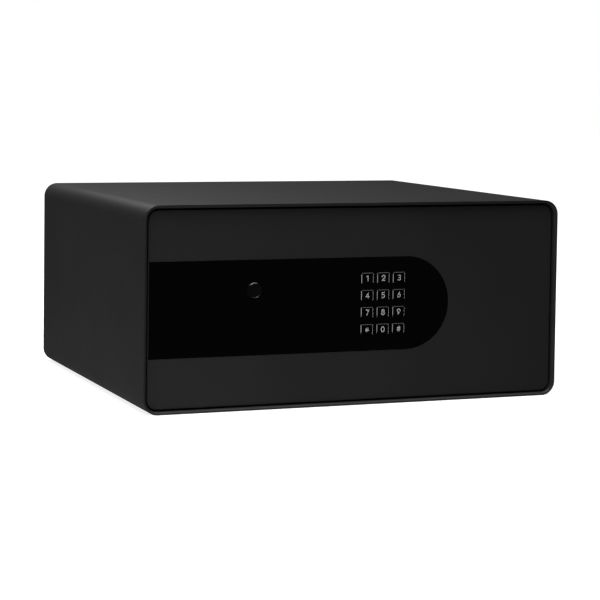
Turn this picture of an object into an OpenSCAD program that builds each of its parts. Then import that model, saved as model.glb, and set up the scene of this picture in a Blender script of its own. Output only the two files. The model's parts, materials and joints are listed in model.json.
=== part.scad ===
// In-room safe: powder-coated steel box, plate door with a gloss keypad panel,
// motor-driven bolts and a mechanical override lock. Millimetres, +Z up,
// front towards -Y, origin at the middle of the base.

/* [Cabinet] */
// Overall width
body_w = 430; // [424:1:450]
// Overall height
body_h = 195; // [192:1:205]
// Overall depth
body_d = 370; // [340:1:420]
// Outer radius of the four long edges
corner_r = 14; // [13:0.5:17]
// Thickness of the wrapped casing sheet
wrap_t = 1.5; // [1.2:0.1:1.8]
// Thickness of the welded frame inside the mouth
frame_t = 1.5; // [1.2:0.1:1.8]
// Radius of the rounding that leads from the rim into the mouth
rim_r = 3; // [2:0.2:3]
// Depth of the welded frame
frame_depth = 45; // [44:1:60]
// Radius of the anchor holes in the floor and the back
anchor_r = 5; // [4:0.5:6]

/* [Door] */
// Thickness of the door plate
plate_t = 5; // [4.6:0.1:5.4]
// How far the door face lies behind the rim
recess = 4; // [3:0.5:5]
// Gap between the door and the frame
gap = 1.5; // [1.5:0.1:1.8]
// Radius along the front edge of the door
edge_r = 1; // [0.8:0.1:1.2]
// Distance of the hinge axis from the edge of the door
hinge_in = 25; // [24:0.5:26]
// Radius of the hinge pins
hinge_pin_r = 3; // [2.5:0.1:3]

/* [Front panel] */
// Height of the gloss panel
panel_h = 90.4; // [86:0.2:94]
// Right end of the gloss panel
panel_right = 97; // [94:0.5:99]
// Distance between key columns
key_pitch_x = 16.6; // [16.4:0.1:17]
// Distance between key rows
key_pitch_z = 16.6; // [16.4:0.1:17]
// Width of a key
key_w = 13; // [12.4:0.1:13.4]
// Height of a key
key_h = 10.9; // [10.4:0.1:11.6]
// Travel of a key
key_travel = 1; // [0.6:0.1:1]
// Radius of the hole for the cap over the override lock
cap_r = 8.6; // [8:0.1:9]

/* [Lock] */
// Radius of the bolts
bolt_r = 9; // [8:0.5:9]
// How far the bolts slide
bolt_throw = 14; // [12:0.5:14]
// Height between the two bolts
bolt_spacing = 80; // [78:1:82]
// Module of the rack and pinion teeth
tooth_m = 1; // [1:0.05:1]

/* [Hidden] */
$fn = 48;

running = 0.05;                              // radial clearance of a turning or sliding fit
front_y = -body_d / 2;
back_y = body_d / 2;
inner_x = body_w / 2 - wrap_t;               // inside of the casing sheet
inner_top = body_h - wrap_t;
inner_r = corner_r - wrap_t;
mouth_x = inner_x - frame_t;                 // inside of the frame
mouth_low = wrap_t + frame_t;
mouth_top = body_h - mouth_low;
mouth_r = inner_r - frame_t;
frame_back_y = front_y + frame_depth;
door_x = mouth_x - gap;                      // half the width of the door plate
door_low = mouth_low + gap;
door_top = mouth_top - gap;
door_r = mouth_r - gap;
face_y = front_y + recess;                   // front face of the door plate
plate_y = face_y + plate_t;                  // its back face
mid_z = body_h / 2;
floor_anchor_x = [-150, 150];
floor_anchor_y = [-95, 125];
wall_anchor_x = [-100, 100];
hinge_x = door_x - hinge_in;
hinge_y = plate_y + hinge_pin_r + 0.5;
panel_z = mid_z - 0.5;                       // centre line of the gloss panel
panel_left = -door_x + 1.2;
panel_y = face_y - 0.2;                      // front face of the gloss panel
panel_t = 2.7;
pocket_y = panel_y + panel_t;                // floor of the pocket in the door plate
pan_left = -194;                             // lock pan on the back of the door
pan_right = hinge_x - 14.5;
pan_low = door_low + 9.5;
pan_top = door_top - 9.5;
pan_t = 1.5;
pan_depth = 34;
cover_y = plate_y + pan_depth;               // front face of the inner cover
lip_w = 12;
flange_y = plate_y + 1.5;                    // stop flange behind the door plate
flange_t = 2;
flange_w = 9;
strike_x = -197;                             // inner side of the strike channel
bolt_y = plate_y + 15;
bolt_z = [mid_z - bolt_spacing / 2, mid_z + bolt_spacing / 2];
bolt_tip_x = -195;
upright_x = -140;                            // left face of the carriage upright
web_y = plate_y + 4;                         // front face of the carriage web
web_t = 2.5;
web_low = 62;
web_top = 92;
pinion_teeth = 16;
pinion_x = -52;
pinion_z = web_top + 1.25 * tooth_m + pinion_teeth * tooth_m / 2 + 0.15;
lock_x = -105;                               // axis of the override lock
lock_z = 112.9;
lock_screw_x = [lock_x - 12, lock_x + 12];
release_x = lock_x + 21.6;                   // pin by which the lock draws the bolts back
release_z = lock_z - 8;
keypad_x = 27;
keypad_z = panel_z;
key_flange_t = 0.8;                          // flange behind the panel that holds a key in
key_flange_w = 1;
key_corner_r = 0.8;
key_clear = 0.25;
display_x = [-76, -29];                      // window for the display in the door plate
display_z = [103.5, 125.5];
thin_t = 0.9;                                // how much thinner the panel is round the keys
battery_x = 125;                             // middle of the battery box
battery_low = 72;
battery_half_x = 33;
battery_h = 58;
battery_depth = 20;
cell_low = battery_low + 3.6;
cell_r = 7.15;
cell_len = 50.5;
board_x0 = 62;                               // control board
board_x1 = 152;
board_z0 = 22;
board_z1 = 62;
board_y = plate_y + 6;
board_t = 1.6;
reset_x = 78;
reset_z = 42;
spring_z = mid_z;                            // spring that pops the door open
spring_x = (-mouth_x + strike_x - 2) / 2;
screw_r = 1.5;
steel = [0.16, 0.16, 0.165];
zinc = [0.72, 0.73, 0.75];
black = [0.05, 0.05, 0.05];

// A solid from y0 to y1 whose section in X and Z is the child.
module slab(y0, y1) {
    translate([0, y1, 0]) rotate([90, 0, 0]) linear_extrude(y1 - y0) children();
}

// A round rod along Y.
module rod_y(x, z, y0, y1, r) {
    slab(y0, y1) translate([x, z]) circle(r);
}

// A round rod along X.
module rod_x(x0, x1, y, z, r) {
    translate([x0, y, z]) rotate([0, 90, 0]) cylinder(r = r, h = x1 - x0);
}

// A round rod along Z.
module rod_z(x, y, z0, z1, r) {
    translate([x, y, z0]) cylinder(r = r, h = z1 - z0);
}

// A box between two corners.
module block(low, high) {
    translate(low) cube(high - low);
}

// A rectangle in X and Z with round corners.
module round_rect(x0, x1, z0, z1, r) {
    translate([x0 + r, z0]) square([x1 - x0 - 2 * r, z1 - z0]);
    translate([x0, z0 + r]) square([x1 - x0, z1 - z0 - 2 * r]);
    for (x = [x0 + r, x1 - r], z = [z0 + r, z1 - r])
        translate([x, z]) circle(r);
}

// A straight slot along X with round ends.
module slot_2d(x0, x1, z, r) {
    translate([x0, z - r]) square([x1 - x0, 2 * r]);
    for (x = [x0, x1])
        translate([x, z]) circle(r);
}

// A plate whose front edge is rounded all the way round.
module soft_plate(x0, x1, z0, z1, y0, y1, r, e) {
    slab(y0 + e, y1) round_rect(x0, x1, z0, z1, r);
    slab(y0, y1) round_rect(x0 + e, x1 - e, z0 + e, z1 - e, r - e);
    for (z = [z0 + e, z1 - e])
        rod_x(x0 + r, x1 - r, y0 + e, z, e);
    for (x = [x0 + e, x1 - e])
        rod_z(x, y0 + e, z0 + r, z1 - r, e);
    for (x = [x0 + r, x1 - r], z = [z0 + r, z1 - r])
        translate([x, y0 + e, z]) rotate([90, 0, 0]) rotate_extrude() translate([r - e, 0]) circle(e);
}

// A pan-head screw along Y whose head faces +Y; head_y is the seat of the head.
module screw_y(x, z, head_y, length) {
    rod_y(x, z, head_y - length, head_y + 0.2, screw_r);
    difference() {
        rod_y(x, z, head_y, head_y + 1.8, screw_r * 1.9);
        for (turn = [0, 90])
            translate([x, 0, z]) rotate([0, turn, 0])
                block([-screw_r, head_y + 0.9, -0.35], [screw_r, head_y + 3, 0.35]);
    }
}

// A tube along a list of points, with flat ends.
function unit(v) = v / norm(v);
function tangent(path, i) =
    unit(path[min(i + 1, len(path) - 1)] - path[max(i - 1, 0)]);
function ring(path, i, r, sides, side_on) =
    let (t = tangent(path, i), u = unit(cross(t, side_on)), v = cross(t, u))
    [for (k = [0 : sides - 1]) path[i] + r * (cos(360 * k / sides) * u + sin(360 * k / sides) * v)];
module tube(path, r, sides = 8, side_on = [1, 2, 3]) {
    rings = len(path);
    points = [for (i = [0 : rings - 1]) each ring(path, i, r, sides, side_on)];
    walls = [for (i = [0 : rings - 2], k = [0 : sides - 1])
        let (a = i * sides + k, b = i * sides + (k + 1) % sides)
        each [[a, a + sides, b], [b, a + sides, b + sides]]];
    ends = [[for (k = [0 : sides - 1]) k],
        [for (k = [0 : sides - 1]) (rings - 1) * sides + sides - 1 - k]];
    polyhedron(points, concat(walls, ends));
}

// Points of a coil round the direction Y, starting at y0.
function coil_y(x, z, y0, y1, r, turns, steps) =
    [for (i = [0 : turns * steps])
        let (a = 360 * i / steps)
        [x + r * cos(a), y0 + (y1 - y0) * i / (turns * steps), z + r * sin(a)]];

// A route through corner points, with each corner cut by a round of short steps.
function rounded(path, r) = concat([path[0]],
    [for (i = [1 : len(path) - 2])
        let (a = unit(path[i - 1] - path[i]), b = unit(path[i + 1] - path[i]))
        for (s = [0 : 0.25 : 1]) path[i] + r * ((1 - s) * (1 - s) * a + s * s * b)],
    [path[len(path) - 1]]);

// ---- Cabinet ----

// Section of what the rounding takes off the rim: x runs inwards from the outer face,
// y runs towards the front.
module rim_cut_2d() difference() {
    square(rim_r + 1);
    circle(rim_r);
}

// The same all round the mouth: a band along each side and a turn at each corner.
module rim_cut() {
    side_x = body_w / 2 - corner_r;
    side_z = body_h / 2 - corner_r;
    start_y = front_y + rim_r;
    translate([0, start_y, mid_z]) for (flip = [0, 1]) {
        mirror([0, 0, flip]) translate([-side_x, 0, -body_h / 2])
            rotate([180, -90, 0]) linear_extrude(2 * side_x) rim_cut_2d();
        mirror([flip, 0, 0]) translate([-body_w / 2, 0, side_z])
            rotate([180, 0, 0]) linear_extrude(2 * side_z) rim_cut_2d();
    }
    for (x = [-side_x, side_x], z = [-side_z, side_z])
        translate([x, start_y, mid_z + z]) rotate([90, 0, 0])
            rotate_extrude() translate([corner_r, 0]) mirror([1, 0]) rim_cut_2d();
}

module casing_wrap() color(steel) difference() {
    slab(front_y, back_y) difference() {
        round_rect(-body_w / 2, body_w / 2, 0, body_h, corner_r);
        round_rect(-inner_x, inner_x, wrap_t, inner_top, inner_r);
    }
    for (x = floor_anchor_x, y = floor_anchor_y)
        rod_z(x, y, -1, wrap_t + 1, anchor_r);
    rim_cut();
}

module rear_panel() color(steel) {
    panel_back_t = 2;
    rim = 12;
    fit = 0.05;
    difference() {
        slab(back_y - rim, back_y)
            round_rect(-inner_x + fit, inner_x - fit, wrap_t + fit, inner_top - fit, inner_r);
        slab(back_y - rim - 1, back_y - panel_back_t)
            round_rect(-mouth_x, mouth_x, mouth_low, mouth_top, mouth_r);
        for (x = wall_anchor_x)
            rod_y(x, mid_z, back_y - rim, back_y + 1, anchor_r);
    }
}

module door_frame() color(steel) {
    fit = 0.02;
    flange_end_x = hinge_x - 12.5;
    difference() {
        slab(front_y, frame_back_y) difference() {
            round_rect(-inner_x + fit, inner_x - fit, wrap_t + fit, inner_top - fit, inner_r);
            round_rect(-mouth_x, mouth_x, mouth_low, mouth_top, mouth_r);
        }
        rod_z(hinge_x, hinge_y, 0, mid_z, hinge_pin_r);
        rod_z(hinge_x, hinge_y, mid_z, body_h, hinge_pin_r + running);
        rim_cut();
    }
    // Stop flanges along the top and the bottom of the mouth.
    for (z = [mouth_low - 0.5, mouth_top - flange_w])
        block([strike_x, flange_y, z], [flange_end_x, flange_y + flange_t, z + flange_w + 0.5]);
    // Return flange on the hinge side, clear of the swinging edge.
    block([mouth_x - 14, frame_back_y - 4, mouth_low + mouth_r],
        [mouth_x + 0.5, frame_back_y - 2, mouth_top - mouth_r]);
}

module strike_channel() color(steel) {
    wall_t = 2;
    low = mouth_low + flange_w + 0.5;
    high = mouth_top - flange_w - 0.5;
    difference() {
        union() {
            block([-mouth_x, flange_y, low], [strike_x, flange_y + flange_t, high]);
            block([strike_x - wall_t, flange_y, low], [strike_x, frame_back_y, high]);
            block([-mouth_x, frame_back_y - wall_t, low], [strike_x, frame_back_y, high]);
        }
        for (z = bolt_z)
            rod_x(strike_x - 3 * wall_t, strike_x + wall_t, bolt_y, z, bolt_r + 1);
        rod_y(spring_x, spring_z, flange_y - 1, flange_y + flange_t + 1, 4.6);
    }
}

module lower_hinge_pin() color(zinc) {
    rod_z(hinge_x, hinge_y, wrap_t + 0.1, 27, hinge_pin_r);
    translate([hinge_x, hinge_y, 27]) cylinder(r1 = hinge_pin_r, r2 = hinge_pin_r - 1, h = 1);
}

module hinge_washers() color(black) {
    washer_t = gap - 0.3;
    for (z = [mouth_low, mouth_top - washer_t])
        difference() {
            rod_z(hinge_x, hinge_y, z, z + washer_t, 2 * hinge_pin_r);
            rod_z(hinge_x, hinge_y, z - 1, z + washer_t + 1, hinge_pin_r + running);
        }
}

module spring_cup() color(zinc) difference() {
    union() {
        rod_y(spring_x, spring_z, flange_y + flange_t, flange_y + flange_t + 12, 5.3);
        rod_y(spring_x, spring_z, flange_y + flange_t, flange_y + flange_t + 1.2, 6);
    }
    rod_y(spring_x, spring_z, flange_y, flange_y + flange_t + 10.8, 4.6);
}

module pop_spring() color(zinc) {
    wire_r = 0.55;
    tube(coil_y(spring_x, spring_z, plate_y + 0.7, flange_y + flange_t + 10.1, 3.6, 5, 12), wire_r);
}

module door_buffers() color(black) {
    buffer_t = 1.3;
    for (x = [-130, 0, 130], z = [mouth_low + 4.5, mouth_top - 4.5])
        rod_y(x, z, flange_y - buffer_t, flange_y, 3.5);
}

module floor_mat() color([0.12, 0.12, 0.13]) {
    mat_t = 2.5;
    mat_x = inner_x - 13;
    difference() {
        block([-mat_x, frame_back_y + 4, wrap_t], [mat_x, back_y - 14, wrap_t + mat_t]);
        for (x = floor_anchor_x, y = floor_anchor_y)
            rod_z(x, y, 0, 10, anchor_r + 4);
    }
}

// ---- Door ----

module panel_outline(clear) {
    end_r = panel_h / 2 + clear;
    translate([panel_left - clear, panel_z - end_r])
        square([panel_right - panel_h / 2 - panel_left + clear, 2 * end_r]);
    translate([panel_right - panel_h / 2, panel_z]) circle(end_r);
}

// Window in the door plate behind the keys.
module keypad_window(clear) {
    round_rect(keypad_x - 28 - clear, keypad_x + 28 + clear,
        keypad_z - 37 - clear, keypad_z + 37 + clear, 3);
}

module display_window() {
    round_rect(display_x[0], display_x[1], display_z[0], display_z[1], 1);
}

module door_plate() color(steel) difference() {
    soft_plate(-door_x, door_x, door_low, door_top, face_y, plate_y, door_r, edge_r);
    slab(face_y - 1, pocket_y) panel_outline(0.15);
    slab(face_y, plate_y + 1) keypad_window(0);
    slab(face_y, plate_y + 1) display_window();
    rod_y(lock_x, lock_z, face_y, plate_y + 1, 7.2);
    for (x = lock_screw_x)
        rod_y(x, lock_z, plate_y - 2, plate_y + 1, screw_r);
}

module hinge_blocks() color(steel) {
    block_half = 7;
    block_h = 26;
    knuckle_r = 5.5;
    for (z = [door_low + 0.2, door_top - 0.2 - block_h])
        difference() {
            union() {
                block([hinge_x - block_half, plate_y, z], [hinge_x + block_half, hinge_y, z + block_h]);
                rod_z(hinge_x, hinge_y, z, z + block_h, knuckle_r);
            }
            block([hinge_x - block_half, plate_y - knuckle_r, z - 1],
                [hinge_x + block_half, plate_y, z + block_h + 1]);
            rod_z(hinge_x, hinge_y, z - 1, z + block_h + 1, hinge_pin_r + (z < mid_z ? running : 0));
        }
}

module upper_hinge_pin() color(zinc) {
    rod_z(hinge_x, hinge_y, door_top - 29, body_h - wrap_t - 0.3, hinge_pin_r);
    // Cross handle by which the pin is drawn down to lift the door off.
    rod_x(hinge_x - 6, hinge_x, hinge_y, door_top - 28, 1);
}

module lock_pan() color(steel) {
    difference() {
        slab(plate_y, cover_y) round_rect(pan_left, pan_right, pan_low, pan_top, 4);
        slab(plate_y - 1, cover_y - pan_t)
            round_rect(pan_left + pan_t, pan_right - pan_t, pan_low + pan_t, pan_top - pan_t, 2.5);
        slab(plate_y, cover_y + 1)
            round_rect(pan_left + lip_w, pan_right - lip_w, pan_low + lip_w, pan_top - lip_w, 2);
        for (z = bolt_z)
            rod_x(pan_left - 1, pan_left + 3, bolt_y, z, bolt_r + 2);
        cover_points() rod_y(0, 0, cover_y - 3, cover_y + 1, screw_r);
    }
}

// Places of the screws that hold the inner cover.
module cover_points() {
    for (x = [pan_left + 6, (pan_left + pan_right) / 2, pan_right - 6], z = [pan_low + 6, pan_top - 6])
        translate([x, 0, z]) children();
    for (x = [pan_left + 6, pan_right - 6])
        translate([x, 0, mid_z]) children();
}

module bolt_bushes() color([0.85, 0.85, 0.82]) {
    for (z = bolt_z)
        difference() {
            union() {
                rod_x(pan_left, pan_left + 14, bolt_y, z, bolt_r + 2);
                rod_x(pan_left + pan_t, pan_left + pan_t + 2, bolt_y, z, bolt_r + 3.5);
            }
            rod_x(pan_left - 1, pan_left + 15, bolt_y, z, bolt_r + running);
        }
}

module battery_opening(clear) {
    round_rect(battery_x - battery_half_x - clear, battery_x + battery_half_x + clear,
        battery_low - 3 - clear, battery_low + battery_h + 3 + clear, 3 + clear);
}

module inner_cover() color(steel) difference() {
    slab(cover_y, cover_y + pan_t) round_rect(pan_left, pan_right, pan_low, pan_top, 4);
    slab(cover_y - 1, cover_y + pan_t + 1) battery_opening(0.4);
    rod_y(reset_x, reset_z, cover_y - 1, cover_y + pan_t + 1, 4.3);
    cover_points() rod_y(0, 0, cover_y - 1, cover_y + pan_t + 1, screw_r + 0.2);
}

module cover_screws() color(zinc) {
    cover_points() screw_y(0, 0, cover_y + pan_t, 5);
}

module key_columns() {
    for (column = [-1 : 1], row = [-1.5 : 1.5])
        translate([keypad_x + column * key_pitch_x, 0, keypad_z + row * key_pitch_z]) children();
}

module key_shape(half_w, half_h, r) {
    round_rect(-half_w, half_w, -half_h, half_h, r);
}

module key_outline(clear) {
    key_shape(key_w / 2 + clear, key_h / 2 + clear, key_corner_r + clear);
}

module fascia_panel() color(black) {
    difference() {
        slab(panel_y, pocket_y) panel_outline(0);
        key_columns() slab(panel_y - 1, pocket_y + 1) key_outline(key_clear);
        rod_y(lock_x, lock_z, panel_y - 1, pocket_y + 1, cap_r);
        // Thinner places behind the display and round the keys.
        slab(pocket_y - 1, pocket_y + 1) display_window();
        slab(pocket_y - thin_t, pocket_y + 1) keypad_window(0);
    }
}

module keypad_mat() color([0.3, 0.3, 0.32]) {
    slab(plate_y - 0.4, plate_y + 0.6) keypad_window(-1);
    key_columns() rod_y(0, 0, pocket_y + 0.05, plate_y, 4);
}

module keypad_board() color([0.05, 0.3, 0.15]) {
    slab(plate_y + 0.7, plate_y + 2.3) round_rect(keypad_x - 34, keypad_x + 34,
        keypad_z - 42, keypad_z + 42, 2);
    // Connector for the ribbon.
    block([keypad_x + 18, plate_y + 2.3, keypad_z - 38], [keypad_x + 30, plate_y + 7.5, keypad_z - 33]);
}

module display_module() color([0.2, 0.02, 0.02]) {
    slab(pocket_y - thin_t, plate_y + 0.6) round_rect(display_x[0] + 1, display_x[1] - 1,
        display_z[0] + 1, display_z[1] - 1, 0.5);
    slab(plate_y + 0.6, plate_y + 2.2) round_rect(display_x[0] - 3, display_x[1] + 3,
        display_z[0] - 2, display_z[1] + 2, 0.5);
}

module control_board() color([0.05, 0.3, 0.15]) difference() {
    slab(board_y, board_y + board_t) round_rect(board_x0, board_x1, board_z0, board_z1, 1.5);
    board_holes() rod_y(0, 0, board_y - 1, board_y + board_t + 1, screw_r);
}

module board_holes() {
    for (x = [board_x0 + 4, board_x1 - 4], z = [board_z0 + 4, board_z1 - 4])
        translate([x, 0, z]) children();
}

module board_standoffs() color(zinc) board_holes() {
    rod_y(0, 0, plate_y, board_y, 3);
    screw_y(0, 0, board_y + board_t, 4);
}

module board_components() color(black) {
    top = board_y + board_t;
    // Microcontroller, relay, capacitors, sounder, reset switch and connectors.
    block([102, top, 36], [114, top + 1.6, 48]);
    block([120, top, 28], [139, top + 10, 44]);
    rod_y(98, 30, top, top + 12, 4);
    rod_y(107, 29, top, top + 9, 3);
    rod_y(132, 53, top, top + 7.5, 6);
    block([reset_x - 3, top, reset_z - 3], [reset_x + 3, top + 2.2, reset_z + 3]);
    block([90, top, 54], [104, top + 6, 59]);
    block([70, top, 54], [80, top + 6, 59]);
    block([144, top, 30], [149, top + 6, 44]);
}

module position_sensor() color(black) difference() {
    sensor_x = -23;
    block([sensor_x - 4, plate_y, 70], [sensor_x + 8, web_y + web_t + 4, 82]);
    block([sensor_x - 5, web_y - 0.6, 69], [sensor_x + 3, web_y + web_t + 0.6, 83]);
}

module override_lock_body() color(zinc) difference() {
    union() {
        rod_y(lock_x, lock_z, pocket_y + 0.1, plate_y, 7);
        slab(plate_y, plate_y + 2) slot_2d(lock_screw_x[0], lock_screw_x[1], lock_z, 4);
        rod_y(lock_x, lock_z, plate_y, plate_y + 2.6, 9);
        rod_y(lock_x, lock_z, plate_y, plate_y + 18, 7.5);
    }
    rod_y(lock_x, lock_z, face_y, plate_y + 19, 5 + running);
    for (x = lock_screw_x)
        rod_y(x, lock_z, plate_y - 1, plate_y + 3, screw_r);
}

module lock_flange_screws() color(zinc) {
    for (x = lock_screw_x)
        screw_y(x, lock_z, plate_y + 2, 3.6);
}

module battery_box() color(black) {
    wall = 1.5;
    low_y = cover_y - battery_depth;
    difference() {
        block([battery_x - battery_half_x, low_y, battery_low],
            [battery_x + battery_half_x, cover_y - 0.3, battery_low + battery_h]);
        block([battery_x - battery_half_x + wall, low_y + wall, battery_low + wall],
            [battery_x + battery_half_x - wall, cover_y, battery_low + battery_h - wall]);
    }
    // Legs down to the door plate.
    leg_in = 4;
    for (x = [battery_x - battery_half_x + leg_in, battery_x + battery_half_x - leg_in],
        z = [battery_low + leg_in, battery_low + battery_h - leg_in])
        rod_y(x, z, plate_y, low_y + 0.5, 3);
}

function cell_x(i) = battery_x - 22.5 + 15 * i;
cell_y = cover_y - battery_depth + 1.5 + cell_r + 0.4;

module battery_cells() color([0.75, 0.55, 0.2]) for (i = [0 : 3]) {
    rod_z(cell_x(i), cell_y, cell_low, cell_low + cell_len - 1.5, cell_r);
    rod_z(cell_x(i), cell_y, cell_low, cell_low + cell_len, 2.7);
}

module battery_contacts() color(zinc) for (i = [0 : 3]) {
    block([cell_x(i) - 5, cell_y - 5, battery_low + 1.5], [cell_x(i) + 5, cell_y + 5, battery_low + 1.9]);
    translate([cell_x(i), cell_y, battery_low + 1.8])
        cylinder(r1 = 4.5, r2 = 3, h = cell_low - battery_low - 1.8);
    block([cell_x(i) - 5, cell_y - 5, cell_low + cell_len],
        [cell_x(i) + 5, cell_y + 5, battery_low + 56.5]);
}

module gearbox_case() color(black) difference() {
    union() {
        block([pinion_x - 15, plate_y + 11, pinion_z - 11], [pinion_x + 16, plate_y + 27, pinion_z + 32]);
        // Feet down to the door plate, clear of the rack and the display.
        for (x = [pinion_x - 15, pinion_x + 12])
            block([x, plate_y, pinion_z + 28], [x + 4, plate_y + 12, pinion_z + 32]);
    }
    rod_y(pinion_x, pinion_z, plate_y + 10, plate_y + 24, 2.5 + running);
}

module motor_can() color(zinc) {
    motor_x = pinion_x + 16;
    motor_y = plate_y + 19;
    motor_z = pinion_z + 20;
    rod_x(motor_x, motor_x + 25, motor_y, motor_z, 7.8);
    rod_x(motor_x + 25, motor_x + 27, motor_y, motor_z, 3);
    for (side = [-4.5, 4.5])
        block([motor_x + 25, motor_y + side - 0.4, motor_z - 1.2],
            [motor_x + 29, motor_y + side + 0.4, motor_z + 1.2]);
}

guide_x = [-112, -70];
guide_z = 77;

module guide_pins() color(zinc) for (x = guide_x) {
    rod_y(x, guide_z, plate_y, web_y - 0.3, 4.2);
    rod_y(x, guide_z, plate_y, web_y + web_t + 1, 2);
    rod_y(x, guide_z, web_y + web_t + 0.3, web_y + web_t + 1.8, 4.2);
}

module wiring() color([0.35, 0.08, 0.07]) {
    wire_r = 0.9;
    top = board_y + board_t;
    // Board to motor.
    tube(rounded([[75, top + 6, 56.5], [75, plate_y + 24, 56.5], [12, plate_y + 24, 56.5],
        [12, plate_y + 24, pinion_z + 20], [pinion_x + 45, plate_y + 24, pinion_z + 20]], 4), wire_r);
    // Board to battery box.
    tube(rounded([[146.5, top + 6, 37], [146.5, plate_y + 22, 37], [146.5, plate_y + 22, 66],
        [146.5, plate_y + 22, battery_low]], 3), wire_r);
    // Board to keypad.
    tube(rounded([[97, top + 6, 57.5], [97, plate_y + 20, 57.5], [51, plate_y + 20, 62],
        [51, plate_y + 7.5, 62]], 4), wire_r);
}

// ---- Bolt work ----

// Rack teeth along X, standing on the line z = 0, trapezoidal with 20 degree sides.
module rack_2d(count) {
    pitch = PI * tooth_m;
    tip_h = 2.05 * tooth_m;
    slack = 0.22;
    half_root = pitch / 4 + 1.25 * tooth_m * tan(20) - slack / 2;
    half_tip = half_root - tip_h * tan(20);
    for (i = [0 : count - 1])
        translate([i * pitch, 0])
            polygon([[-half_root, -0.5], [half_root, -0.5], [half_root, 0], [half_tip, tip_h],
                [-half_tip, tip_h], [-half_root, 0]]);
}

module carriage_plate() color(zinc) {
    upright_t = 3;
    web_right = -25;
    rack_teeth = 13;
    difference() {
        union() {
            slab(web_y, web_y + web_t) {
                translate([upright_x, web_low]) square([web_right - upright_x, web_top - web_low]);
                translate([upright_x, bolt_z[0] - 15]) square([18, bolt_spacing + 30]);
                translate([release_x - 3, web_top - 1]) square([6, release_z - web_top + 1]);
                translate([release_x, release_z]) circle(3);
            }
            block([upright_x, web_y, bolt_z[0] - 15],
                [upright_x + upright_t, plate_y + 26, bolt_z[1] + 15]);
            translate([pinion_x - PI * tooth_m * 4, 0, web_top])
                slab(web_y, web_y + web_t) rack_2d(rack_teeth);
        }
        for (x = guide_x)
            slab(web_y - 1, web_y + web_t + 1) slot_2d(x, x + bolt_throw, guide_z, 2.35);
        for (z = bolt_z)
            rod_x(upright_x - 1, upright_x + upright_t + 1, bolt_y, z, 3.2);
        rod_y(release_x, release_z, web_y - 1, web_y + web_t + 1, 2);
    }
}

module release_pin() color(zinc) {
    rod_y(release_x, release_z, web_y, web_y + web_t, 2);
    rod_y(release_x, release_z, web_y + web_t, plate_y + 22, 2.5);
}

module bolt(z) color(zinc) difference() {
    union() {
        rod_x(bolt_tip_x + 1.5, upright_x, bolt_y, z, bolt_r);
        translate([bolt_tip_x, bolt_y, z]) rotate([0, 90, 0])
            cylinder(r1 = bolt_r - 1.5, r2 = bolt_r, h = 1.5);
    }
    rod_x(upright_x - 12, upright_x + 1, bolt_y, z, 3);
}

module bolt_upper() bolt(bolt_z[1]);

module bolt_lower() bolt(bolt_z[0]);

module bolt_screws() color(zinc) for (z = bolt_z) {
    rod_x(upright_x - 11, upright_x + 3.2, bolt_y, z, 3);
    difference() {
        rod_x(upright_x + 3, upright_x + 6, bolt_y, z, 5.5);
        rod_x(upright_x + 4, upright_x + 7, bolt_y, z, 2.5);
    }
}

// Half the angle of a pinion tooth at radius r: involute flank, thinned for clearance.
base_r = pinion_teeth * tooth_m / 2 * cos(20);
function involute(r) = let (a = acos(min(1, base_r / r))) tan(a) * 180 / PI - a;
function tooth_half(r) = 90 / pinion_teeth + involute(pinion_teeth * tooth_m / 2)
    - involute(max(r, base_r)) - 0.9;

function tooth_side(i, side, flank) = let (middle = -90 + 360 * (i + 0.5) / pinion_teeth)
    [for (r = flank) let (a = middle + side * tooth_half(r)) r * [cos(a), sin(a)]];

module drive_pinion() color([0.8, 0.65, 0.3]) {
    tip_r = pinion_teeth * tooth_m / 2 + 0.9 * tooth_m;
    root_r = pinion_teeth * tooth_m / 2 - 1.35 * tooth_m;
    rising = [for (s = [0 : 0.2 : 1]) root_r + (tip_r - root_r) * s];
    falling = [for (k = [len(rising) - 1 : -1 : 0]) rising[k]];
    difference() {
        slab(web_y - 0.3, web_y + web_t + 1.2) translate([pinion_x, pinion_z])
            polygon([for (i = [0 : pinion_teeth - 1])
                each concat(tooth_side(i, -1, rising), tooth_side(i, 1, falling))]);
        rod_y(pinion_x, pinion_z, web_y - 1, plate_y + 12, 2.5);
    }
}

module pinion_shaft() color(zinc) rod_y(pinion_x, pinion_z, web_y - 0.8, plate_y + 23, 2.5);

// ---- Override lock ----

module lock_plug() color([0.8, 0.65, 0.3]) difference() {
    rod_y(lock_x, lock_z, pocket_y + 0.1, plate_y + 19, 5);
    block([lock_x - 0.6, pocket_y - 1, lock_z - 3.2], [lock_x + 0.6, pocket_y + 9, lock_z + 3.2]);
    rod_y(lock_x, lock_z, plate_y + 12, plate_y + 20, screw_r);
}

module lock_cam() color(zinc) {
    cam_y = plate_y + 19;
    difference() {
        slab(cam_y, cam_y + 2) {
            translate([lock_x, lock_z]) circle(6);
            translate([lock_x - 3, lock_z - 17]) square([6, 17]);
            translate([lock_x, lock_z - 17]) circle(3);
        }
        rod_y(lock_x, lock_z, cam_y - 1, cam_y + 3, screw_r);
    }
}

module cam_screw() color(zinc) screw_y(lock_x, lock_z, plate_y + 21, 7);

module override_cap() color(black) {
    // Dished face inside a raised lip, on a short hollow skirt.
    lip_r = cap_r - 0.15;
    lip_h = 0.5;
    wall = 1.2;
    difference() {
        union() {
            rod_y(lock_x, lock_z, panel_y - 0.1, pocket_y - 0.1, lip_r);
            rod_y(lock_x, lock_z, panel_y - lip_h, panel_y, lip_r - 0.45);
        }
        rod_y(lock_x, lock_z, panel_y + 1.3, pocket_y, lip_r - wall);
        translate([lock_x, panel_y - 2 * lip_h, lock_z]) rotate([-90, 0, 0])
            cylinder(r1 = lip_r - 0.5, r2 = lip_r - 2.3, h = 2 * lip_h + 0.1);
    }
}

// ---- Keys and buttons ----

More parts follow.
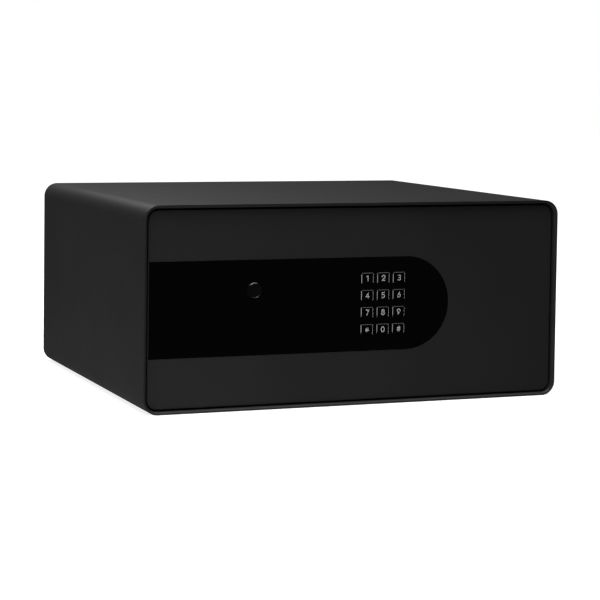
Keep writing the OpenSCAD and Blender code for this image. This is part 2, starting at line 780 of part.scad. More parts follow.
module key(column, row) color(black)
    translate([keypad_x + column * key_pitch_x, 0, keypad_z + row * key_pitch_z]) {
        slab(panel_y - key_travel - 0.2, pocket_y - key_flange_t) key_outline(0);
        slab(pocket_y - key_flange_t - 0.05, pocket_y - 0.05)
            key_shape(key_w / 2 + key_flange_w, key_h / 2 + key_flange_w,
                key_corner_r + key_flange_w);
    }

module key_1() key(-1, 1.5);
module key_2() key(0, 1.5);
module key_3() key(1, 1.5);
module key_4() key(-1, 0.5);
module key_5() key(0, 0.5);
module key_6() key(1, 0.5);
module key_7() key(-1, -0.5);
module key_8() key(0, -0.5);
module key_9() key(1, -0.5);
module key_star() key(-1, -1.5);
module key_0() key(0, -1.5);
module key_hash() key(1, -1.5);

module reset_button() color([0.7, 0.05, 0.05]) {
    rod_y(reset_x, reset_z, cover_y - 1.5, cover_y + pan_t + 0.6, 4);
    rod_y(reset_x, reset_z, cover_y - 2.7, cover_y - 0.5, 5.2);
    rod_y(reset_x, reset_z, plate_y + 12.2, cover_y - 1, 2);
}

module battery_lid() color(black) {
    lid_y = cover_y + pan_t;
    difference() {
        slab(cover_y - 0.2, lid_y) battery_opening(0);
        // Finger groove.
        for (z = [0 : 3])
            rod_x(battery_x - 10, battery_x + 10, lid_y + 0.3, battery_low + 48 + 2.5 * z, 0.9);
    }
}

casing_wrap();
rear_panel();
door_frame();
strike_channel();
lower_hinge_pin();
hinge_washers();
spring_cup();
pop_spring();
door_buffers();
floor_mat();
door_plate();
hinge_blocks();
upper_hinge_pin();
lock_pan();
bolt_bushes();
inner_cover();
cover_screws();
fascia_panel();
keypad_mat();
keypad_board();
display_module();
control_board();
board_standoffs();
board_components();
position_sensor();
override_lock_body();
lock_flange_screws();
battery_box();
battery_contacts();
battery_cells();
gearbox_case();
motor_can();
guide_pins();
wiring();
carriage_plate();
release_pin();
bolt_upper();
bolt_lower();
bolt_screws();
drive_pinion();
pinion_shaft();
lock_plug();
lock_cam();
cam_screw();
override_cap();
key_1();
key_2();
key_3();
key_4();
key_5();
key_6();
key_7();
key_8();
key_9();
key_star();
key_0();
key_hash();
reset_button();
battery_lid();
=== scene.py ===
import json
import math
from contextlib import contextmanager

import bmesh
import bpy
from mathutils import Matrix, Vector


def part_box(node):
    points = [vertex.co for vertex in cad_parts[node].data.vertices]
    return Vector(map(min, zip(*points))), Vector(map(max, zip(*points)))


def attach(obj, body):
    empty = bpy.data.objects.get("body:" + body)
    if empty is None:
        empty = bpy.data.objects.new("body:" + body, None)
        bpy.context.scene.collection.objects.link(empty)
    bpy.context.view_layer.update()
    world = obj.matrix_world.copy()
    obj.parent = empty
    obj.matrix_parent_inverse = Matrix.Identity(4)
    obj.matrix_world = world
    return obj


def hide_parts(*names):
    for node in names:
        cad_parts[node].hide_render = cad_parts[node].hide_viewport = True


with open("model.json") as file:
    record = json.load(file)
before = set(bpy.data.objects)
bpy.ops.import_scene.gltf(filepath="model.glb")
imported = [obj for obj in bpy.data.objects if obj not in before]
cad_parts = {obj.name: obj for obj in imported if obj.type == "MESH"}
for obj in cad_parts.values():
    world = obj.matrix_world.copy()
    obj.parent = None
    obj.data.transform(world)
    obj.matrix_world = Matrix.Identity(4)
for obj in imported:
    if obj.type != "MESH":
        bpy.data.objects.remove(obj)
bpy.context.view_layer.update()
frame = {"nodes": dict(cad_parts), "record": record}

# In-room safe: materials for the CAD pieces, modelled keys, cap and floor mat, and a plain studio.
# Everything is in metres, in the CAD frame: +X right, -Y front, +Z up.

NODES = frame["nodes"]
MM = 0.001
KEYS = ("1", "2", "3", "4", "5", "6", "7", "8", "9", "star", "0", "hash")


# ---------------------------------------------------------------- camera and studio

def make_camera():
    """A long shifted lens left of the door and a little above it, so uprights stay upright.
    The angles, the place and the lens are the ones that fit the edges in the photo best."""
    azimuth, elevation, roll = (math.radians(a) for a in (-21.158, 3.127, 0.736))
    target = Vector((0, 0, 0.1))
    side_step, rise, distance = 0.01213, -0.10431, 2.04936
    back = Vector((math.sin(azimuth) * math.cos(elevation),
                   -math.cos(azimuth) * math.cos(elevation), math.sin(elevation)))
    level = Vector((0, 0, 1)).cross(back).normalized()
    upright = back.cross(level)
    right = level * math.cos(roll) + upright * math.sin(roll)
    up = upright * math.cos(roll) - level * math.sin(roll)
    data = bpy.data.cameras.new("camera")
    data.lens, data.sensor_width = 117.362, 36
    data.shift_x, data.shift_y = 0.03905, -0.19631
    data.clip_start, data.clip_end = 0.05, 100
    camera = bpy.data.objects.new("camera", data)
    place = target - side_step * right - rise * up + distance * back
    camera.matrix_world = Matrix((right, up, back)).transposed().to_4x4()
    camera.matrix_world.translation = place
    bpy.context.scene.collection.objects.link(camera)
    bpy.context.scene.camera = camera


def area_light(name, place, aim, size, power):
    """A soft rectangular light. size is (width, height)."""
    data = bpy.data.lights.new(name, "AREA")
    data.shape = "RECTANGLE"
    data.size, data.size_y = size
    data.energy = power
    light = bpy.data.objects.new(name, data)
    light.location = place
    light.visible_camera = False
    light.rotation_euler = (Vector(aim) - Vector(place)).to_track_quat("-Z", "Y").to_euler()
    bpy.context.scene.collection.objects.link(light)
    return light


# Soft boxes: name, place, aim, (width, height), watts.
LIGHTS = (
    ("top_left_near", (-0.35, 0.4, 0.95), (-0.3, 0.2, 0), (0.5, 0.5), 6.2),
    ("top_front_left", (-0.3, -0.65, 1.5), (-0.15, -0.2, 0), (0.75, 0.6), 9),
    ("top_front_right", (0.85, -0.45, 2.3), (0, 0, 0.1), (1.0, 0.8), 15),
)
# Light sent up by a white floor: it brightens matt surfaces and makes no glints.
FLOOR_BOUNCE = (
    ("left_below", (-0.5, 0.0, -0.3), (-0.215, 0, 0.0), (0.9, 0.25), 2.4),
    ("front_below", (-0.3, -0.55, -0.32), (-0.05, -0.185, 0.0), (0.9, 0.25), 1.9),
)
# Cards that only the keys see, one each side, for the glint along their edges.
KEY_CARDS = (
    ("key_card_left", (-2.7, -1.0, -0.2), (0, -0.18, 0.1), (1.9, 0.5), 40),
    ("key_card_right", (2.9, -0.75, -0.2), (0, -0.18, 0.1), (1.3, 0.5), 30),
)
AIR_GLOW = 0.033
STAGE_R = 9.0       # inside the clip range of any view
DOME_GAP = 0.05     # keeps the dome's foot off the floor's edge
# The floor's own glow is lower near the object, a painted shadow under the faint real one that falls
# on its paper, and full further off.
PAINTED_SHADOW_R, WHITE_R = 0.35, 1.0
PAINTED_SHADOW_GLOW, WHITE_GLOW = 0.84, 1.1


def make_studio():
    """Soft boxes, a pale floor that meets a pale dome, and a faint even glow."""
    world = bpy.data.worlds.new("studio")
    world.use_nodes = True
    background = world.node_tree.nodes["Background"]
    background.inputs["Color"].default_value = (1, 1, 1, 1)
    background.inputs["Strength"].default_value = AIR_GLOW
    bpy.context.scene.world = world
    for row in LIGHTS:
        area_light(*row)
    for row in FLOOR_BOUNCE:
        area_light(*row).visible_glossy = False

    floor = mesh_object("floor", *disc(STAGE_R, 128))
    floor.data.materials.append(floor_material())
    dome = mesh_object("dome", (), ())
    with mesh_edit(dome) as work:
        bmesh.ops.create_uvsphere(work, u_segments=96, v_segments=48, radius=STAGE_R - DOME_GAP)
    dome.data.materials.append(glow_material("dome_glow", 1.0))
    for stage_piece in (floor, dome):
        stage_piece.visible_glossy = stage_piece.visible_diffuse = False
        stage_piece.visible_shadow = False


def glow_material(name, strength):
    """An even white glow that nothing shades."""
    material = bpy.data.materials.new(name)
    material.use_nodes = True
    nodes, links = material.node_tree.nodes, material.node_tree.links
    nodes.clear()
    glow = nodes.new("ShaderNodeEmission")
    glow.inputs["Color"].default_value = (1, 1, 1, 1)
    glow.inputs["Strength"].default_value = strength
    links.new(glow.outputs[0], nodes.new("ShaderNodeOutputMaterial").inputs["Surface"])
    return material


def floor_material():
    """White paper that glows, dimmed under the object as a painted shadow, with a faint real shadow
    too; further off it meets the dome.
    """
    material = glow_material("floor_paper", 1.0)
    nodes, links = material.node_tree.nodes, material.node_tree.links
    glow = next(n for n in nodes if n.type == "EMISSION")
    output = next(n for n in nodes if n.type == "OUTPUT_MATERIAL")
    place = nodes.new("ShaderNodeNewGeometry")
    length = nodes.new("ShaderNodeVectorMath")
    length.operation = "LENGTH"
    # Dims the floor's glow towards the object: a painted shadow round it.
    fade = nodes.new("ShaderNodeMapRange")
    fade.interpolation_type = "SMOOTHSTEP"
    fade.inputs["From Min"].default_value = PAINTED_SHADOW_R
    fade.inputs["From Max"].default_value = WHITE_R
    fade.inputs["To Min"].default_value = PAINTED_SHADOW_GLOW
    fade.inputs["To Max"].default_value = WHITE_GLOW
    paper = nodes.new("ShaderNodeBsdfDiffuse")
    paper.inputs["Color"].default_value = (0.8, 0.8, 0.8, 1)
    both = nodes.new("ShaderNodeAddShader")
    links.new(place.outputs["Position"], length.inputs[0])
    links.new(length.outputs["Value"], fade.inputs["Value"])
    links.new(fade.outputs["Result"], glow.inputs["Strength"])
    links.new(glow.outputs[0], both.inputs[0])
    links.new(paper.outputs[0], both.inputs[1])
    links.new(both.outputs[0], output.inputs["Surface"])
    return material


# ---------------------------------------------------------------- mesh helpers

def mesh_object(name, points, faces):
    mesh = bpy.data.meshes.new(name)
    mesh.from_pydata([tuple(p) for p in points], [], faces)
    mesh.validate()
    piece = bpy.data.objects.new(name, mesh)
    bpy.context.scene.collection.objects.link(piece)
    return piece


@contextmanager
def mesh_edit(piece):
    """The piece's mesh as a bmesh, written back when the block ends."""
    work = bmesh.new()
    work.from_mesh(piece.data)
    yield work
    work.to_mesh(piece.data)
    work.free()


def circle(radius, sides):
    """Points of a circle round the origin."""
    return [(radius * math.cos(a), radius * math.sin(a))
            for a in (2 * math.pi * i / sides for i in range(sides))]


def disc(radius, sides):
    return [(x, y, 0) for x, y in circle(radius, sides)], [list(range(sides))]


def rounded_outline(half_w, half_h, radius, steps=6):
    """Points of a rectangle with round corners, in X and Z, counter-clockwise from the right."""
    points = []
    for corner, (sx, sz) in enumerate(((1, 1), (-1, 1), (-1, -1), (1, -1))):
        for i in range(steps + 1):
            angle = math.pi / 2 * (corner + i / steps)
            points.append((sx * (half_w - radius) + radius * math.cos(angle),
                           sz * (half_h - radius) + radius * math.sin(angle)))
    return points


def loft(rings, close_first=True, close_last=True):
    """Points and faces through rings of equal length; the ends are closed by one face each."""
    count = len(rings[0])
    points = [p for ring in rings for p in ring]
    faces = []
    for r in range(len(rings) - 1):
        for i in range(count):
            a, b = r * count + i, r * count + (i + 1) % count
            faces.append((a, b, b + count, a + count))
    if close_first:
        faces.append(tuple(reversed(range(count))))
    if close_last:
        faces.append(tuple((len(rings) - 1) * count + i for i in range(count)))
    return points, faces


def lathe_y(profile, centre, sides=64):
    """Turns (radius, y) pairs round the Y direction through centre (x, z)."""
    return loft([[(centre[0] + x, y, centre[1] + z) for x, z in circle(radius, sides)]
                 for radius, y in profile])


def flip_if_inside_out(piece):
    """Makes the faces of a closed mesh point outwards."""
    with mesh_edit(piece) as work:
        bmesh.ops.recalc_face_normals(work, faces=work.faces)


def smooth_by_angle(piece, degrees):
    """Smooth shading with crisp edges where faces meet at more than this angle."""
    for polygon in piece.data.polygons:
        polygon.use_smooth = True
    with mesh_edit(piece) as work:
        for edge in work.edges:
            if len(edge.link_faces) == 2:
                edge.smooth = edge.calc_face_angle(0) < math.radians(degrees)


# ---------------------------------------------------------------- materials

def new_material(name, color, roughness, metallic=0.0, specular=0.5):
    material = bpy.data.materials.new(name)
    material.use_nodes = True
    shader = material.node_tree.nodes["Principled BSDF"]
    shader.inputs["Base Color"].default_value = (*color, 1)
    shader.inputs["Roughness"].default_value = roughness
    shader.inputs["Metallic"].default_value = metallic
    shader.inputs["Specular IOR Level"].default_value = specular
    return material, shader


def object_coords(material, stretch=(1, 1, 1)):
    nodes, links = material.node_tree.nodes, material.node_tree.links
    place = nodes.new("ShaderNodeTexCoord")
    mapping = nodes.new("ShaderNodeMapping")
    mapping.inputs["Scale"].default_value = stretch
    links.new(place.outputs["Object"], mapping.inputs["Vector"])
    return mapping.outputs["Vector"]


def noise(material, scale, detail=3.0, stretch=(1, 1, 1)):
    node = material.node_tree.nodes.new("ShaderNodeTexNoise")
    node.inputs["Scale"].default_value = scale
    node.inputs["Detail"].default_value = detail
    material.node_tree.links.new(object_coords(material, stretch), node.inputs["Vector"])
    return node.outputs["Fac"]


def vary_color(material, shader, value, dark, light):
    """Colour from dark to light with value."""
    ramp = material.node_tree.nodes.new("ShaderNodeValToRGB")
    ramp.color_ramp.elements[0].position = 0.3
    ramp.color_ramp.elements[1].position = 0.7
    ramp.color_ramp.elements[0].color = (*dark, 1)
    ramp.color_ramp.elements[1].color = (*light, 1)
    material.node_tree.links.new(value, ramp.inputs["Fac"])
    material.node_tree.links.new(ramp.outputs["Color"], shader.inputs["Base Color"])


def vary_roughness(material, shader, value, low, high):
    spread = material.node_tree.nodes.new("ShaderNodeMapRange")
    spread.inputs["To Min"].default_value = low
    spread.inputs["To Max"].default_value = high
    material.node_tree.links.new(value, spread.inputs["Value"])
    material.node_tree.links.new(spread.outputs["Result"], shader.inputs["Roughness"])


def add_bump(material, shader, value, height, strength=1.0):
    """Relief of that height in metres."""
    bump = material.node_tree.nodes.new("ShaderNodeBump")
    bump.inputs["Strength"].default_value = strength
    bump.inputs["Distance"].default_value = height
    material.node_tree.links.new(value, bump.inputs["Height"])
    if shader.inputs["Normal"].is_linked:
        before = shader.inputs["Normal"].links[0].from_socket
        material.node_tree.links.new(before, bump.inputs["Normal"])
    material.node_tree.links.new(bump.outputs["Normal"], shader.inputs["Normal"])


def shades(level, spread):
    """A dark and a light neutral round one level."""
    return ((level * (1 - spread),) * 3, (level * (1 + spread),) * 3)


def powder_coat(name, level):
    """Matte fine-textured powder coat: orange peel under a fine grain."""
    material, shader = new_material(name, (level,) * 3, 0.5, specular=0.42)
    vary_color(material, shader, noise(material, 9, 2), *shades(level, 0.06))
    vary_roughness(material, shader, noise(material, 60, 4), 0.46, 0.56)
    add_bump(material, shader, noise(material, 420, 2), 0.00003, 0.7)
    add_bump(material, shader, noise(material, 2200, 2), 0.000012, 0.8)
    return material


def gloss(name, level, roughness=0.06, specular=0.5):
    """Polished plastic with a hint of unevenness and fine handling haze."""
    material, shader = new_material(name, (level,) * 3, roughness, specular=specular)
    vary_color(material, shader, noise(material, 14, 2), *shades(level, 0.12))
    vary_roughness(material, shader, noise(material, 35, 5), roughness * 0.7, roughness * 1.5)
    add_bump(material, shader, noise(material, 45, 2), 0.00001, 0.25)
    return material


def moulded(name, color, roughness=0.5, grain=900):
    """Moulded plastic or rubber with a spark-eroded grain."""
    material, shader = new_material(name, color, roughness)
    dark, light = (tuple(c * k for c in color) for k in (0.9, 1.1))
    vary_color(material, shader, noise(material, 20, 3), dark, light)
    vary_roughness(material, shader, noise(material, 150, 3), roughness * 0.85, roughness * 1.15)
    add_bump(material, shader, noise(material, grain, 3), 0.00003, 0.6)
    return material


def plated(name, color, roughness=0.28, stretch=(1, 1, 1), scale=260):
    """Plated or drawn metal: fine lines along one direction and faint clouding."""
    material, shader = new_material(name, color, roughness, metallic=1.0)
    dark, light = (tuple(c * k for c in color) for k in (0.82, 1.08))
    vary_color(material, shader, noise(material, 30, 4), dark, light)
    vary_roughness(material, shader, noise(material, 90, 4), roughness * 0.75, roughness * 1.35)
    add_bump(material, shader, noise(material, scale, 3, stretch), 0.00002, 0.5)
    return material


def circuit_board(name):
    """Solder mask over a faint pattern of tracks."""
    material, shader = new_material(name, (0.02, 0.13, 0.06), 0.3)
    brick = material.node_tree.nodes.new("ShaderNodeTexBrick")
    brick.inputs["Scale"].default_value = 160
    brick.inputs["Color1"].default_value = (0.015, 0.12, 0.05, 1)
    brick.inputs["Color2"].default_value = (0.02, 0.15, 0.065, 1)
    brick.inputs["Mortar"].default_value = (0.035, 0.22, 0.1, 1)
    turn = material.node_tree.nodes.new("ShaderNodeMapping")
    turn.inputs["Rotation"].default_value = (math.pi / 2, 0, 0)
    links = material.node_tree.links
    links.new(object_coords(material), turn.inputs["Vector"])
    links.new(turn.outputs["Vector"], brick.inputs["Vector"])
    links.new(brick.outputs["Color"], shader.inputs["Base Color"])
    add_bump(material, shader, brick.outputs["Fac"], 0.00003, 0.4)
    vary_roughness(material, shader, noise(material, 80, 3), 0.25, 0.4)
    return material


def cell_sleeve(name):
    """Battery sleeve: dark body with a copper band at the top, no lettering."""
    material, shader = new_material(name, (0.02, 0.02, 0.02), 0.25)
    nodes, links = material.node_tree.nodes, material.node_tree.links
    split = nodes.new("ShaderNodeSeparateXYZ")
    links.new(object_coords(material), split.inputs[0])
    low, high = (corner.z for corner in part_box("battery_cells"))
    band = nodes.new("ShaderNodeMapRange")
    band.inputs["From Min"].default_value = low + 0.7 * (high - low)
    band.inputs["From Max"].default_value = low + 0.705 * (high - low)
    links.new(split.outputs["Z"], band.inputs["Value"])
    vary_color(material, shader, band.outputs["Result"], (0.02, 0.02, 0.022), (0.62, 0.3, 0.12))
    vary_roughness(material, shader, noise(material, 70, 3), 0.2, 0.34)
    add_bump(material, shader, noise(material, 200, 2), 0.00002, 0.3)
    return material


def felt(name):
    """Needle felt: short fibres in all directions, soft sheen, faint mottling."""
    material, shader = new_material(name, (0.045, 0.045, 0.048), 0.95, specular=0.15)
    shader.inputs["Sheen Weight"].default_value = 0.35
    shader.inputs["Sheen Roughness"].default_value = 0.5
    vary_color(material, shader, noise(material, 700, 6), (0.02, 0.02, 0.022), (0.085, 0.085, 0.09))
    add_bump(material, shader, noise(material, 500, 6, (1, 3, 1)), 0.0005, 0.6)
    add_bump(material, shader, noise(material, 1500, 4, (3, 1, 1)), 0.0003, 0.6)
    return material


def legend_ink(name):
    """Pale grey pad-printed ink, a little uneven."""
    material, shader = new_material(name, (0.8, 0.8, 0.8), 0.5)
    vary_color(material, shader, noise(material, 900, 3), (0.72,) * 3, (0.86,) * 3)
    vary_roughness(material, shader, noise(material, 600, 3), 0.42, 0.6)
    add_bump(material, shader, noise(material, 3000, 2), 0.00001, 0.4)
    return material


def make_materials():
    """One finish for each material slot of the record, plus the ink."""
    return {
        "powder_black": powder_coat("powder_black", 0.028),
        "gloss_black": gloss("gloss_black", 0.0008, 0.05, specular=0.36),
        "key_black": gloss("key_black", 0.0004, 0.09, specular=0.35),
        "cap_black": gloss("cap_black", 0.003, 0.2, specular=0.6),
        "zinc_steel": plated("zinc_steel", (0.55, 0.56, 0.57), 0.3),
        "bolt_steel": plated("bolt_steel", (0.62, 0.62, 0.63), 0.2, (12, 1, 1), 160),
        "spring_steel": plated("spring_steel", (0.42, 0.42, 0.43), 0.3),
        "white_nylon": moulded("white_nylon", (0.6, 0.59, 0.55), 0.45),
        "black_rubber": moulded("black_rubber", (0.02, 0.02, 0.02), 0.8, 600),
        "grey_felt": felt("grey_felt"),
        "grey_silicone": moulded("grey_silicone", (0.16, 0.16, 0.17), 0.7),
        "green_board": circuit_board("green_board"),
        "display_red": gloss("display_red", 0.01, 0.1),
        "black_plastic": moulded("black_plastic", (0.022, 0.022, 0.023), 0.45),
        "cell_wrap": cell_sleeve("cell_wrap"),
        "red_wire": moulded("red_wire", (0.3, 0.02, 0.015), 0.4),
        "brass": plated("brass", (0.6, 0.42, 0.17), 0.25),
        "red_plastic": moulded("red_plastic", (0.42, 0.015, 0.012), 0.3, 1400),
        "ink": legend_ink("ink"),
    }


# ---------------------------------------------------------------- CAD pieces

# Width of the broken edge on each CAD piece, in millimetres, where it isn't the usual one.
EDGE_MM = {
    "casing_wrap": 0.15, "door_frame": 0.15, "door_plate": 0.0, "fascia_panel": 0.25,
    "inner_cover": 0.3, "lock_pan": 0.3, "battery_lid": 0.35, "drive_pinion": 0.08,
    "pop_spring": 0.0, "wiring": 0.0, "rear_panel": 0.3, "floor_mat": 0.0,
}
USUAL_EDGE_MM = 0.2
BEVEL_ABOVE = 40    # degrees


def finish_cad_pieces(materials):
    """Gives each CAD piece its slot's material and slightly broken edges."""
    slots = {row["node"]: row["material_slot"] for row in frame["record"]["subparts"]}
    for name, piece in NODES.items():
        piece.data.materials.clear()
        piece.data.materials.append(materials[slots[name]])
        width = EDGE_MM.get(name, USUAL_EDGE_MM)
        if width:
            bevel = piece.modifiers.new("broken_edges", "BEVEL")
            bevel.width = width * MM
            bevel.segments = 2
            bevel.limit_method = "ANGLE"
            bevel.angle_limit = math.radians(BEVEL_ABOVE)
            bevel.use_clamp_overlap = True
            bevel.harden_normals = False


# ---------------------------------------------------------------- keys

def arc(cx, cz, rx, rz, start, end, steps=18):
    """Points of an elliptical arc, from start to end degrees."""
    return [(cx + rx * math.cos(math.radians(start + (end - start) * i / steps)),
             cz + rz * math.sin(math.radians(start + (end - start) * i / steps)))
            for i in range(steps + 1)]


def star_strokes():
    """Three strokes through one point."""
    return [[(-0.32 * math.cos(math.radians(a)), -0.32 * math.sin(math.radians(a))),
             (0.32 * math.cos(math.radians(a)), 0.32 * math.sin(math.radians(a)))]
            for a in (30, 90, 150)]


# Signs on the keys: their height, and the width and thickness of the ink.
LEGEND_H, STROKE_W, INK_T = 5.3 * MM, 0.82 * MM, 0.035 * MM
# Strokes of each sign, one high: x to the right, z up, middle at the origin.
SIGNS = {
    "0": [arc(0, 0, 0.29, 0.46, 0, 360, 32)],
    "1": [[(-0.17, 0.3), (0.04, 0.46), (0.04, -0.46)]],
    "2": [arc(0, 0.18, 0.28, 0.28, 165, -35) + [(-0.29, -0.46), (0.3, -0.46)]],
    "3": [arc(-0.02, 0.22, 0.25, 0.24, 140, -90), arc(-0.02, -0.23, 0.3, 0.25, 90, -145)],
    "4": [[(0.13, -0.46), (0.13, 0.46), (-0.3, -0.2), (0.32, -0.2)]],
    "5": [[(0.25, 0.46), (-0.19, 0.46), (-0.23, 0.06)] + arc(-0.01, -0.17, 0.29, 0.29, 128, -145)],
    "6": [[(0.12, 0.46)] + arc(0.0, -0.18, 0.28, 0.28, 148, 508, 32)],
    "7": [[(-0.28, 0.46), (0.28, 0.46), (-0.1, -0.46)]],
    "8": [arc(0, 0.24, 0.22, 0.22, 0, 360, 24), arc(0, -0.21, 0.28, 0.25, 0, 360, 28)],
    "9": [[(-0.12, -0.46)] + arc(0.0, 0.18, 0.28, 0.28, -32, 328, 32)],
    "star": star_strokes(),
    "hash": [[(-0.12, -0.4), (-0.04, 0.4)], [(0.12, -0.4), (0.2, 0.4)],
             [(-0.26, 0.14), (0.34, 0.14)], [(-0.3, -0.14), (0.3, -0.14)]],
}


def stroke_ribbon(path, width, thickness):
    """A flat stroke with round ends along points in X and Z; thickness is its depth in Y."""
    points = [Vector(p) for p in path]
    closed = (points[0] - points[-1]).length < 1e-6
    half = width / 2
    centres, sides = [], []
    for i, point in enumerate(points):
        before = points[i - 1] if i else (points[-2] if closed else None)
        after = points[i + 1] if i < len(points) - 1 else (points[1] if closed else None)
        into = (point - before).normalized() if before is not None else None
        out = (after - point).normalized() if after is not None else None
        along = (into + out).normalized() if into is not None and out is not None else (into or out)
        reach = half / max(0.5, along.dot(into or out))
        centres.append(point)
        sides.append(Vector((-along.y, along.x)) * reach)
    rows = []
    cap = 5
    if not closed:
        start_dir = (points[0] - points[1]).normalized()
        for k in range(cap, 0, -1):
            a = math.pi / 2 * k / (cap + 0.4)
            rows.append((centres[0] + start_dir * half * math.sin(a), sides[0] * math.cos(a)))
    rows += list(zip(centres, sides))
    if not closed:
        end_dir = (points[-1] - points[-2]).normalized()
        for k in range(1, cap + 1):
            a = math.pi / 2 * k / (cap + 0.4)
            rows.append((centres[-1] + end_dir * half * math.sin(a), sides[-1] * math.cos(a)))
    rings = []
    for centre, side in rows:
        inner = side * 0.72
        rings.append([(centre + side, 0), (centre + inner, -thickness),
                      (centre - inner, -thickness), (centre - side, 0)])
    rings = [[(p.x, depth, p.y) for p, depth in ring] for ring in rings]
    if closed:
        rings[-1] = rings[0]
        return loft(rings, close_first=False, close_last=False)
    return loft(rings)


def make_legend(sign, centre_x, centre_z, front_y, height):
    """The sign of one key as thin raised ink."""
    all_points, all_faces = [], []
    for path in SIGNS[sign]:
        scaled = [(x * height, z * height) for x, z in path]
        points, faces = stroke_ribbon(scaled, STROKE_W, INK_T)
        offset = len(all_points)
        all_points += [(x + centre_x, y + front_y, z + centre_z) for x, y, z in points]
        all_faces += [tuple(i + offset for i in face) for face in faces]
    piece = mesh_object(f"legend_{sign}", all_points, all_faces)
    with mesh_edit(piece) as work:
        bmesh.ops.remove_doubles(work, verts=work.verts, dist=1e-7)
        bmesh.ops.recalc_face_normals(work, faces=work.faces)
    return piece


def part_way(function, start, end, at):
    """How far a function has gone from its start to its end at an angle between, 0 to 1."""
    first, last, now = (function(math.radians(a)) for a in (start, end, at))
    return (first - now) / (first - last)


def make_key(name):
    """A moulded key: flange behind the panel, straight sides, a polished slope along the front
    edge, steeper at the top and bottom, and a flat face."""
    low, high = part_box(f"key_{name}")
    flange, flange_t = 1.0 * MM, 0.8 * MM
    cx, cz = (low.x + high.x) / 2, (low.z + high.z) / 2
    half_w, half_h = (high.x - low.x) / 2 - flange, (high.z - low.z) / 2 - flange
    front, back = low.y, high.y
    slope_w, slope_h, slope_y = 0.78 * MM, 0.5 * MM, 0.8 * MM
    slope_start, slope_turn, slope_steps = 28, 34, 8
    corner, least_corner = 0.8 * MM, 0.4 * MM
    middle = 0.7 * MM

    def ring(inset_x, inset_z, y):
        radius = max(corner - max(inset_x, inset_z), least_corner)
        outline = rounded_outline(half_w - inset_x, half_h - inset_z, radius)
        return [(cx + x, y, cz + z) for x, z in outline]

    rings = [ring(-flange, -flange, back), ring(-flange, -flange, back - flange_t),
             ring(0, 0, back - flange_t), ring(0, 0, back - 0.9 * MM)]
    for i in range(slope_steps + 1):
        angles = slope_start, slope_start + slope_turn, slope_start + slope_turn * i / slope_steps
        outwards, inwards = part_way(math.sin, *angles), part_way(math.cos, *angles)
        rings.append(ring(slope_w * inwards, slope_h * inwards, front + slope_y * (1 - outwards)))
    for share in (0.35, 0.7, 0.96):
        rings.append(ring(slope_w + (half_w - slope_w - middle) * share,
                          slope_h + (half_h - slope_h - middle) * share, front))
    piece = mesh_object(f"keycap_{name}", *loft(rings))
    flip_if_inside_out(piece)
    smooth_by_angle(piece, 25)
    return piece, (cx, cz, front)


def make_keys(materials):
    """Every key with its sign, and the cards that light them alone."""
    lit_keys = bpy.data.collections.new("lit_keys")
    for name in KEYS:
        key, (x, z, face_y) = make_key(name)
        key.data.materials.append(materials["key_black"])
        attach(key, f"key_{name}_body")
        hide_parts(f"key_{name}")
        lit_keys.objects.link(key)
        legend = make_legend(name, x, z, face_y, LEGEND_H)
        legend.data.materials.append(materials["ink"])
        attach(legend, f"key_{name}_body")
    for row in KEY_CARDS:
        area_light(*row).light_linking.receiver_collection = lit_keys


# ---------------------------------------------------------------- override cap

def make_cap(materials):
    """Pull-off cap: sloped outer edge, dished face inside the lip, hollow skirt behind."""
    low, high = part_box("override_cap")
    centre = ((low.x + high.x) / 2, (low.z + high.z) / 2)
    radius = (high.x - low.x) / 2
    front, back = low.y, high.y
    wall, web = 1.2 * MM, 1.8 * MM
    chamfer, crest, slope, dish = 1.4 * MM, 0.16 * MM, 0.8 * MM, 0.8 * MM
    profile = [(0.05 * MM, front + web), (radius - wall, front + web), (radius - wall, back),
               (radius, back), (radius, front + chamfer), (radius - 0.08 * MM, front + chamfer * 0.9)]
    profile += [(radius - chamfer * 0.93, front + 0.08 * MM), (radius - chamfer, front + 0.02 * MM),
                (radius - chamfer - crest, front)]
    slope_r = radius - chamfer - crest
    slope_depth, slope_steps = 0.55 * MM, 4
    for i in range(1, slope_steps + 1):
        share = i / slope_steps
        profile.append((slope_r - slope * share, front + slope_depth * share ** 1.15))
    floor_r, floor_steps = slope_r - slope, 12
    for i in range(1, floor_steps + 1):
        share = i / floor_steps
        depth = front + slope_depth + (dish - slope_depth) * (1 - (1 - share) ** 2.2)
        profile.append((max(floor_r * (1 - share), 0.02 * MM), depth))
    points, faces = lathe_y(profile, centre, 80)
    cap = mesh_object("cap_over_override_lock", points, faces)
    flip_if_inside_out(cap)
    smooth_by_angle(cap, 24)
    cap.data.materials.append(materials["cap_black"])
    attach(cap, "cap")
    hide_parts("override_cap")


# ---------------------------------------------------------------- floor mat

MAT_CELLS_X, MAT_CELLS_Y = 134, 102
MAT_CORNER = 12 * MM
# Holes over the floor anchors.
MAT_HOLES = [(x, y) for x in (-0.15, 0.15) for y in (-0.095, 0.125)]
MAT_HOLE_R = 9 * MM
HOLE_SNAP = 2.4 * MM    # grid points this near a hole's edge move onto it
EDGE_FADE = 4 * MM      # the pile thins out over this width
EDGE_DROP = 0.5 * MM


def mat_surface(x, y):
    """Height of the slightly uneven pile above or below its middle, 0.14 mm at most."""
    return 0.09 * MM * (math.sin(x * 41 + 1.3) * math.sin(y * 37 + 0.4)
                        + 0.5 * math.sin(x * 97 + y * 71))


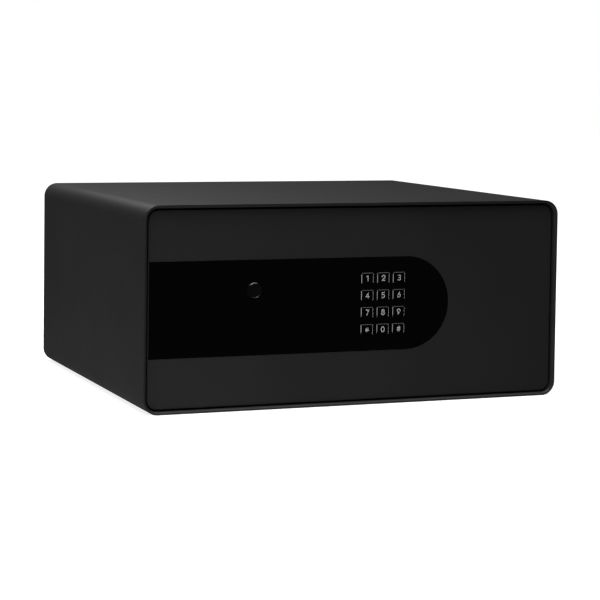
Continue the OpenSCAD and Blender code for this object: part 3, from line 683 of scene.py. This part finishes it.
def make_floor_mat(materials):
    """Felt mat with round corners and holes over the anchors, lying a little uneven."""
    low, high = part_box("floor_mat")
    size_x, size_y = high.x - low.x, high.y - low.y
    mid_x, mid_y = (low.x + high.x) / 2, (low.y + high.y) / 2
    half_x, half_y = size_x / 2 - MAT_CORNER, size_y / 2 - MAT_CORNER

    def past_outline(x, y):
        """Distance outside the mat's outline, negative inside it. Plain numbers, since a Vector
        is too coarse for points that lie just on the outline."""
        dx = max(0.0, abs(x - mid_x) - half_x)
        dy = max(0.0, abs(y - mid_y) - half_y)
        return math.hypot(dx, dy) - MAT_CORNER

    def pulled(x, y):
        """Moves a grid point onto the outline or a hole's edge when it is past it."""
        if past_outline(x, y) > 0:
            mid = Vector((mid_x, mid_y))
            q = Vector((x, y)) - mid
            core = Vector((max(-half_x, min(half_x, q.x)), max(-half_y, min(half_y, q.y))))
            return tuple(mid + core + (q - core).normalized() * MAT_CORNER)
        for hx, hy in MAT_HOLES:
            d = math.hypot(x - hx, y - hy)
            if 1e-9 < d < MAT_HOLE_R:
                return hx + (x - hx) * MAT_HOLE_R / d, hy + (y - hy) * MAT_HOLE_R / d
        return x, y

    points, keep = [], []
    for j in range(MAT_CELLS_Y + 1):
        for i in range(MAT_CELLS_X + 1):
            x0 = low.x + size_x * i / MAT_CELLS_X
            y0 = low.y + size_y * j / MAT_CELLS_Y
            keep.append(not any(math.hypot(x0 - hx, y0 - hy) < MAT_HOLE_R - HOLE_SNAP
                                for hx, hy in MAT_HOLES))
            x, y = pulled(x0, y0)
            inside = max(0.0, min(1.0, -past_outline(x0, y0) / EDGE_FADE))
            drop = EDGE_DROP * (1 - inside) ** 2
            points.append((x, y, high.z - 0.15 * MM + mat_surface(x, y) - drop))
    row = MAT_CELLS_X + 1
    quads = ((j * row + i, j * row + i + 1, (j + 1) * row + i + 1, (j + 1) * row + i)
             for j in range(MAT_CELLS_Y) for i in range(MAT_CELLS_X))
    mat = mesh_object("felt_floor_mat", points, [q for q in quads if all(keep[k] for k in q)])
    with mesh_edit(mat) as work:
        bmesh.ops.remove_doubles(work, verts=work.verts, dist=1e-6)
        bmesh.ops.dissolve_degenerate(work, dist=1e-6, edges=work.edges)
        loose = [v for v in work.verts if not v.link_faces]
        bmesh.ops.delete(work, geom=loose, context="VERTS")
        rim = [e for e in work.edges if len(e.link_faces) == 1]
        made = bmesh.ops.extrude_edge_only(work, edges=rim)
        for vertex in (v for v in made["geom"] if isinstance(v, bmesh.types.BMVert)):
            vertex.co.z = low.z + 0.05 * MM
        bmesh.ops.recalc_face_normals(work, faces=work.faces)
    smooth_by_angle(mat, 50)
    mat.data.materials.append(materials["grey_felt"])
    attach(mat, "cabinet")
    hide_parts("floor_mat")


# ---------------------------------------------------------------- all of it

bpy.context.scene.view_settings.view_transform = "Standard"
make_camera()
make_studio()
materials = make_materials()
finish_cad_pieces(materials)
make_keys(materials)
make_cap(materials)
make_floor_mat(materials)
